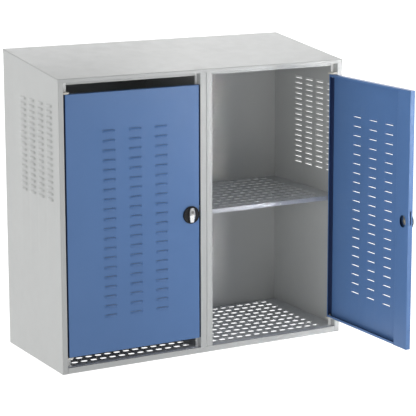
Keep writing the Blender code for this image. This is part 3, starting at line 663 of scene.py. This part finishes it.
# Hinge tabs, their corners eased.
for side, mirror in (("left", False), ("right", True)):
    for level, low in (("upper", DOOR_TOP + 0.8), ("lower", DOOR_BOTTOM - 0.8 - 5.5)):
        wall = POST_FACE + GAP
        outline = [(wall, REBATE - FOLD - GAP), (wall, 1.2), (wall + 16.3, 1.2), (wall + 23.3, 8.2),
                   (wall + 23.3, REBATE - FOLD - GAP)]
        if mirror:
            outline = [(WIDTH - x, y) for x, y in outline]
        bm = bmesh.new()
        prism(bm, outline, "z", low, low + 5.5)
        finish(side + "_" + level + "_tab", bm, CARCASS, TAB, "carcass", (side + "_" + level + "_hinge_tab",),
               bevel=0.6)


# --------------------------------------------------------------------- doors
def door_tray(side, matrix, mirrored):
    """The door skin with its louvres, four returns and the lips that turn in again."""
    r = 2.0
    x0, x1, z0, z1 = r, DOOR_WIDTH - r, DOOR_BOTTOM + r, DOOR_TOP - r
    step = DOOR_WIDTH - CHANNEL_WIDTH - GAP

    def place(u, v, out):
        return (u, -out, v)

    slot_low, slot_high = LOCK_Z - 9.5, LOCK_Z + 36.5
    bm = bmesh.new()
    hole = 6.6
    us, vs, vert = louvred_grid(
        bm, [x0, x0 + 6.5, 60.0, step, LOCK_X - hole, LOCK_X + hole, x1],
        [z0, z0 + 1.0, slot_low, slot_high, LOCK_Z - hole, LOCK_Z + hole, 850.0, z1], place, DOOR_COLUMNS, DOOR_ROWS,
        skip=((LOCK_X - hole, LOCK_X + hole, LOCK_Z - hole, LOCK_Z + hole),))
    ni, nj = len(us) - 1, len(vs) - 1
    # The rim of the grid as a loop of (vertex, outward x, outward z).
    loop = [(vert(i, 0), 0, -1) for i in range(ni + 1)] + [(vert(ni, j), 1, 0) for j in range(1, nj + 1)]
    loop += [(vert(i, nj), 0, 1) for i in range(ni - 1, -1, -1)] + [(vert(0, j), -1, 0) for j in range(nj - 1, 0, -1)]
    rim = []
    for v, ox, oz in loop:
        ox = 1 if abs(v.co.x - x1) < 1e-4 else -1 if abs(v.co.x - x0) < 1e-4 else 0
        oz = 1 if abs(v.co.z - z1) < 1e-4 else -1 if abs(v.co.z - z0) < 1e-4 else 0
        rim.append((v, v.co.copy(), ox, oz))
    count = len(rim)
    rings = [[item[0] for item in rim]]

    def ring(out, depth):
        return [bm.verts.new((co.x + ox * out, depth, co.z + oz * out)) for _, co, ox, oz in rim]

    for k in range(1, 7):
        a = math.pi / 2.0 * k / 6.0
        rings.append(ring(r * math.sin(a), r - r * math.cos(a)))
    rings.append(ring(r, 6.0))
    rings.append(ring(r, 11.6))
    lip_start = DOOR_DEPTH - r
    rings.append(ring(r, lip_start))
    for m in range(len(rings) - 1):
        for k in range(count):
            n = (k + 1) % count
            a, b = rim[k], rim[n]
            on_free_edge = a[2] == 1 and b[2] == 1
            mid_z = (a[1].z + b[1].z) / 2.0
            if on_free_edge and m == 7 and slot_low < mid_z < slot_high:
                continue
            bm.faces.new((rings[m][k], rings[m][n], rings[m + 1][n], rings[m + 1][k]))
    # Lips at the hinge edge and along top and bottom up to the lock channel;
    # elsewhere the return runs straight to the rim.
    base = rings[-1]

    def has_lip(k):
        n = (k + 1) % count
        a, b = rim[k], rim[n]
        if a[2] == 1 and b[2] == 1:
            return False
        return (a[1].x + b[1].x) / 2.0 < step

    lip_keys = set()
    for k in range(count):
        if has_lip(k):
            lip_keys.update((k, (k + 1) % count))

    def inward(k, amount):
        _, co, ox, oz = rim[k]
        dx = ox * (r - amount * (DOOR_HINGE_LIP / DOOR_LIP if ox < 0 else 1.0))
        dz = oz * (r - amount)
        if ox > 0:
            dx = r
        z = co.z + dz
        if oz == 0:
            z = min(max(z, DOOR_BOTTOM + DOOR_LIP + 0.4), DOOR_TOP - DOOR_LIP - 0.4)
        return co.x + dx, z

    lip_rings = [{k: base[k] for k in lip_keys}]
    for m in range(1, 6):
        a = math.pi / 2.0 * m / 5.0
        current = {}
        for k in lip_keys:
            _, co, ox, oz = rim[k]
            drop = r - r * math.cos(a)
            current[k] = bm.verts.new((co.x + ox * (r - drop), lip_start + r * math.sin(a), co.z + oz * (r - drop)))
        lip_rings.append(current)
    current = {}
    for k in lip_keys:
        x, z = inward(k, DOOR_LIP)
        current[k] = bm.verts.new((x, DOOR_DEPTH, z))
    lip_rings.append(current)
    for low, high in zip(lip_rings, lip_rings[1:]):
        for k in range(count):
            n = (k + 1) % count
            if has_lip(k):
                bm.faces.new((low[k], low[n], high[n], high[k]))
    straight = {}
    for k in range(count):
        n = (k + 1) % count
        if has_lip(k):
            continue
        for q in (k, n):
            if q not in straight:
                _, co, ox, oz = rim[q]
                straight[q] = bm.verts.new((co.x + ox * r, DOOR_DEPTH, co.z + oz * r))
        bm.faces.new((base[k], base[n], straight[n], straight[k]))
    face_out(bm)
    probe = min(bm.faces, key=lambda f: (f.calc_center_median() - Vector((60.0, 0.0, 100.0))).length)
    if probe.normal.y > 0.0:
        bmesh.ops.reverse_faces(bm, faces=bm.faces[:])

    # Painted shade: the hinge edge, the inside of the hinge-side return and narrow strips of the inner skin along the
    # hinge and bottom lips get a dark navy coat in place of real shadow.
    def in_door_painted_shade(p, n):
        if p.x < 0.1 and n.x < -0.8 and p.y > 2.0:
            return True
        if not SKIN - 0.3 < p.y < DOOR_DEPTH - SKIN - 0.2:
            return False
        if p.x < 2.2 and n.x > 0.3:
            return True
        return p.y < 3.0 and n.y > 0.5 and p.x < step and (p.x < x0 + 6.5 or p.z < z0 + 1.0)

    return finish(side + "_door_tray", bm, matrix, BLUE, side + "_door", (side + "_door_panel",), solid=SKIN,
                  second=((DOOR_PAINTED_SHADE, in_door_painted_shade),))


def lock_channel(side, matrix):
    outer, inner = DOOR_WIDTH - SKIN - GAP, DOOR_WIDTH - CHANNEL_WIDTH
    outline = [(outer, DOOR_DEPTH - SKIN), (outer, DOOR_DEPTH), (inner, DOOR_DEPTH), (inner, SKIN + GAP),
               (inner + SKIN, SKIN + GAP), (inner + SKIN, DOOR_DEPTH - SKIN)]
    bm = bmesh.new()
    prism(bm, oval(33.0, 40.0, 40, LOCK_X, LOCK_Z), "y", DOOR_DEPTH - SKIN - 1.0, DOOR_DEPTH + 1.0)
    window = cutter(bm, matrix)
    bm = bmesh.new()
    prism(bm, folded(outline, SKIN, 2.0), "z", DOOR_BOTTOM + SKIN + GAP, DOOR_TOP - SKIN - GAP)
    return finish(side + "_lock_channel", bm, matrix, BLUE, side + "_door", (side + "_door_lock_channel",),
                  cutters=(window,))


def lathe(bm, profile, sides, cx, cz, closed=True):
    """Turn a profile of (radius, y) round the axis through (cx, cz)."""
    rings = []
    for radius, y in profile:
        if radius < 1e-6:
            rings.append([bm.verts.new((cx, y, cz))])
        else:
            rings.append([bm.verts.new((cx + radius * math.cos(2.0 * math.pi * k / sides), y,
                                        cz + radius * math.sin(2.0 * math.pi * k / sides))) for k in range(sides)])
    pairs = list(zip(rings, rings[1:]))
    if closed and len(rings[0]) > 1:
        pairs.append((rings[-1], rings[0]))
    for a, b in pairs:
        for k in range(sides):
            n = (k + 1) % sides
            if len(a) == 1 and len(b) == 1:
                continue
            if len(a) == 1:
                bm.faces.new((a[0], b[n], b[k]))
            elif len(b) == 1:
                bm.faces.new((a[k], a[n], b[0]))
            else:
                bm.faces.new((a[k], a[n], b[n], b[k]))


def lock(side, matrix):
    # Rosette: a shallow dish with a raised rolled rim and a domed boss.
    face, back = -GAP - ROSETTE_HEIGHT, -GAP
    R = ROSETTE_RADIUS
    bm = bmesh.new()
    lathe(bm, [(4.5, back), (R - 0.6, back), (R, back - 0.6), (R, face + 1.4), (R - 0.35, face + 0.5),
               (R - 1.1, face + 0.05), (R - 2.0, face), (R - 2.8, face + 0.25), (R - 3.2, face + 0.9),
               (R - 3.6, face + 1.5), (R - 5.0, face + 1.7), (14.0, face + 1.5), (12.6, face + 0.9),
               (12.0, face + 0.1), (11.6, face), (4.5, face)], 96, LOCK_X, LOCK_Z)
    finish(side + "_rosette_cap", bm, matrix, BLACK, side + "_door", (side + "_lock_rosette",),
           angle=28.0)

    # Lever: a lens in plan, highest along a ridge across its middle, with
    # rounded flanks and blunt ends.
    back = LEVER_BACK
    half_l, half_w = LEVER_LENGTH / 2.0, LEVER_WIDTH / 2.0
    bm = bmesh.new()
    along, around = 40, 20
    rings = []
    for i in range(along + 1):
        t = -1.0 + 2.0 * i / along
        t = math.copysign(abs(t) ** 0.85, t)
        z = t * half_l
        end = min(1.0, (1.0 - abs(t)) / 0.06)
        blunt = math.sqrt(max(0.0, 1.0 - (1.0 - end) ** 2))
        w = (half_w - (half_w - 6.4) * abs(t) ** 1.9) * (0.80 + 0.20 * blunt)
        h = (LEVER_HEIGHT - 3.6 * abs(t) ** 1.15) * (0.72 + 0.28 * blunt)
        ring = []
        for k in range(around + 1):
            a = math.pi * k / around
            c, s = math.cos(a), math.sin(a)
            ring.append(bm.verts.new((LOCK_X + w * math.copysign(abs(c) ** 0.55, c), back - h * abs(s) ** 0.42,
                                      LOCK_Z + z)))
        rings.append(ring)
    for a, b in zip(rings, rings[1:]):
        for k in range(around):
            bm.faces.new((a[k], a[k + 1], b[k + 1], b[k]))
        bm.faces.new((a[-1], a[0], b[0], b[-1]))
    bm.faces.new(rings[0])
    bm.faces.new(rings[-1][::-1])
    hole = bmesh.new()
    prism(hole, [(LOCK_X + (KEY_RADIUS + 0.25) * math.cos(2.0 * math.pi * k / 40),
                  LOCK_Z + KEY_OFFSET + (KEY_RADIUS + 0.25) * math.sin(2.0 * math.pi * k / 40)) for k in range(40)],
          "y", back - LEVER_HEIGHT - 1.0, back + 1.0)
    # The lever's upper half gets the darker nickel as painted shade; the lower half keeps the lighter one.
    finish(side + "_lever_grip", bm, matrix, NICKEL, side + "_lever", (side + "_lock_lever",),
           cutters=(cutter(hole, matrix),), angle=38.0, second=((NICKEL_PAINTED_SHADE, lambda p, n: p.z > LOCK_Z - 0.2),))

    # Key barrel: a chamfered face with a stepped keyway.
    top = back - LEVER_HEIGHT + 1.5
    bm = bmesh.new()
    lathe(bm, [(0.0, back - 0.4), (KEY_RADIUS, back - 0.4), (KEY_RADIUS, top + 0.5), (KEY_RADIUS - 0.4, top + 0.1),
               (KEY_RADIUS - 0.9, top), (0.0, top)], 48, LOCK_X, LOCK_Z + KEY_OFFSET, closed=False)
    way = bmesh.new()
    prism(way, [(LOCK_X + x, LOCK_Z + KEY_OFFSET + z) for x, z in (
        (-0.75, -3.2), (0.75, -3.2), (0.75, -0.6), (1.5, -0.3), (1.5, 0.9), (0.75, 1.2), (0.75, 3.2), (-0.75, 3.2))],
          "y", top - 1.0, top + 3.6)
    finish(side + "_barrel_face", bm, matrix, BARREL, side + "_key", (side + "_key_barrel",),
           cutters=(cutter(way, matrix),))

    # Screw behind the latch tongue: a domed head with a hexagon socket.
    y0 = 10.2 + GAP
    bm = bmesh.new()
    lathe(bm, [(0.0, y0), (6.0, y0), (6.0, y0 + 1.7), (5.6, y0 + 2.4), (4.6, y0 + 2.9), (0.0, y0 + 3.0)], 48,
          LOCK_X, LOCK_Z, closed=False)
    socket = bmesh.new()
    prism(socket, [(LOCK_X + 2.3 * math.cos(math.pi * k / 3.0), LOCK_Z + 2.3 * math.sin(math.pi * k / 3.0))
                   for k in range(6)], "y", y0 + 1.4, y0 + 4.0)
    finish(side + "_socket_screw", bm, matrix, ZINC, side + "_lever", (side + "_tongue_screw",),
           cutters=(cutter(socket, matrix),))

    # Latch tongue: flat bar with eased edges and a round hub hole.
    hub, w, reach = 12.0, 7.0, 43.5
    bm = bmesh.new()
    prism(bm, [(LOCK_X + x, LOCK_Z + z) for x, z in (
        (-5.0, -hub), (5.0, -hub), (w, -hub + 4.0), (w, reach - 3.0), (w - 3.0, reach), (-w + 3.0, reach),
        (-w, reach - 3.0), (-w, -hub + 4.0))], "y", 7.2, 10.2)
    bore = bmesh.new()
    prism(bore, [(LOCK_X + 4.3 * math.cos(2.0 * math.pi * k / 32), LOCK_Z + 4.3 * math.sin(2.0 * math.pi * k / 32))
                 for k in range(32)], "y", 6.0, 12.0)
    finish(side + "_tongue_bar", bm, matrix, ZINC, side + "_lever", (side + "_latch_tongue",),
           cutters=(cutter(bore, matrix),), bevel=0.35)


for side, matrix, mirrored in (("left", LEFT_DOOR, False), ("right", RIGHT_DOOR, True)):
    door_tray(side, matrix, mirrored)
    lock_channel(side, matrix)
    lock(side, matrix)

# CAD pieces that stay get the same finishes.
KEPT = {"back_panel": GREY, "centre_partition": GREY, "base_left_rail": GREY, "base_right_rail": GREY,
        "base_rear_rail": GREY, "base_centre_rail": GREY}
for side in ("left", "right"):
    KEPT[side + "_shelf_support_left"] = GREY
    KEPT[side + "_shelf_support_right"] = GREY
    KEPT[side + "_upper_hinge_pin"] = ZINC
    KEPT[side + "_lower_hinge_pin"] = ZINC
    KEPT[side + "_lock_nut"] = ZINC
    KEPT[side + "_lock_spindle"] = ZINC
for node, mat in KEPT.items():
    for slot in nodes[node].material_slots:
        slot.material = mat

# --------------------------------------------------------- floor and backdrop
floor_mat = Nodes("studio_floor")
floor_mat.link(floor_mat.ramp(floor_mat.noise(2.0, 2.0), (0.30, 0.30, 0.30), (0.32, 0.32, 0.32)),
               floor_mat.shader.inputs["Base Color"])
floor_mat.shader.inputs["Roughness"].default_value = 0.9
floor_mat.shader.inputs["Emission Color"].default_value = (1.0, 1.0, 1.0, 1.0)
floor_mat.shader.inputs["Emission Strength"].default_value = 0.97
floor_mat.shader.inputs["Specular IOR Level"].default_value = 0.1
bm = bmesh.new()
bmesh.ops.create_grid(bm, x_segments=8, y_segments=8, size=60.0)
mesh = bpy.data.meshes.new("studio_floor")
bm.to_mesh(mesh)
bm.free()
mesh.materials.append(floor_mat.mat)
floor = bpy.data.objects.new("studio_floor", mesh)
floor.location = (0.0, 0.0, -0.0006)
bpy.context.scene.collection.objects.link(floor)

# -------------------------------------------------------------------- lights
scene = bpy.context.scene
world = bpy.data.worlds.new("studio_light")
scene.world = world
world.use_nodes = True
tree = world.node_tree
background = tree.nodes["Background"]
direction = tree.nodes.new("ShaderNodeTexCoord").outputs["Generated"]
split = tree.nodes.new("ShaderNodeSeparateXYZ")
tree.links.new(direction, split.inputs["Vector"])


def calc(operation, a, b):
    node = tree.nodes.new("ShaderNodeMath")
    node.operation = operation
    for socket, value in zip(node.inputs, (a, b)):
        if isinstance(value, float):
            socket.default_value = value
        else:
            tree.links.new(value, socket)
    return node.outputs["Value"]


def lobe(axis, sign, power, amount):
    """Light that comes mostly from one side of the room."""
    facing = calc("MAXIMUM", calc("MULTIPLY", split.outputs[axis], sign), 0.0)
    return calc("MULTIPLY", calc("POWER", facing, power), amount)


# A pale room: a bright wall on the left, softer ones on the right and behind,
# and least light from the front.
glow = calc("ADD", lobe("X", -1.0, 7.0, 2.2), 0.02)
for part in (lobe("Z", 1.0, 7.0, 1.2), lobe("Y", 1.0, 2.0, 2.4), lobe("X", 1.0, 2.0, 0.55)):
    glow = calc("ADD", glow, part)
tree.links.new(glow, background.inputs["Strength"])
background.inputs["Color"].default_value = (1.0, 1.0, 1.0, 1.0)


def softbox(name, location, target, width, height, power, spread=180.0):
    data = bpy.data.lights.new(name, "AREA")
    data.shape = "RECTANGLE"
    data.size = width
    data.size_y = height
    data.energy = power
    data.spread = math.radians(spread)
    lamp = bpy.data.objects.new(name, data)
    scene.collection.objects.link(lamp)
    lamp.location = location
    lamp.rotation_euler = (Vector(target) - Vector(location)).to_track_quat("-Z", "Y").to_euler()
    lamp.visible_camera = False
    return lamp


softbox("front_box", (0.85, -2.0, 1.2), (0.25, 0.0, 0.6), 0.9, 1.2, 10.6)
softbox("left_front_box", (-1.6, -2.0, 0.9), (0.5, -0.25, 0.5), 0.5, 0.8, 0.83, 40.0)
softbox("right_front_box", (1.5, -2.6, 0.55), (0.62, -0.3, 0.75), 0.4, 0.6, 0.96, 30.0)
softbox("right_box", (2.2, -2.2, 0.5), (0.6, -0.2, 0.8), 0.5, 0.5, 0.6, 40.0)
softbox("low_right_box", (1.6, -2.4, 0.25), (0.55, -0.25, 0.06), 0.4, 0.25, 0.5, 25.0)
bay_lamp = softbox("bay_box", (0.70, -3.0, 0.49), (0.185, 0.2155, 0.48), 0.16, 0.78, 0.29, 3.5)
bay_lamp.visible_glossy = False
softbox("top_box", (1.2, 1.4, 2.2), (0.2, 0.0, 0.9), 1.0, 1.0, 5.55)

# -------------------------------------------------------------------- camera
data = bpy.data.cameras.new("photo_camera")
data.lens = 151.11
data.sensor_width = 36.0
data.sensor_fit = "HORIZONTAL"
data.shift_x = -0.0462
data.shift_y = -0.060
data.clip_end = 200.0
camera = bpy.data.objects.new("photo_camera", data)
scene.collection.objects.link(camera)
camera.location = (-2.7171, -5.1339, 1.6589)
camera.rotation_euler = (math.radians(90.0 - 10.93), 0.0, math.radians(-29.62))
scene.camera = camera
scene.view_settings.view_transform = "Standard"
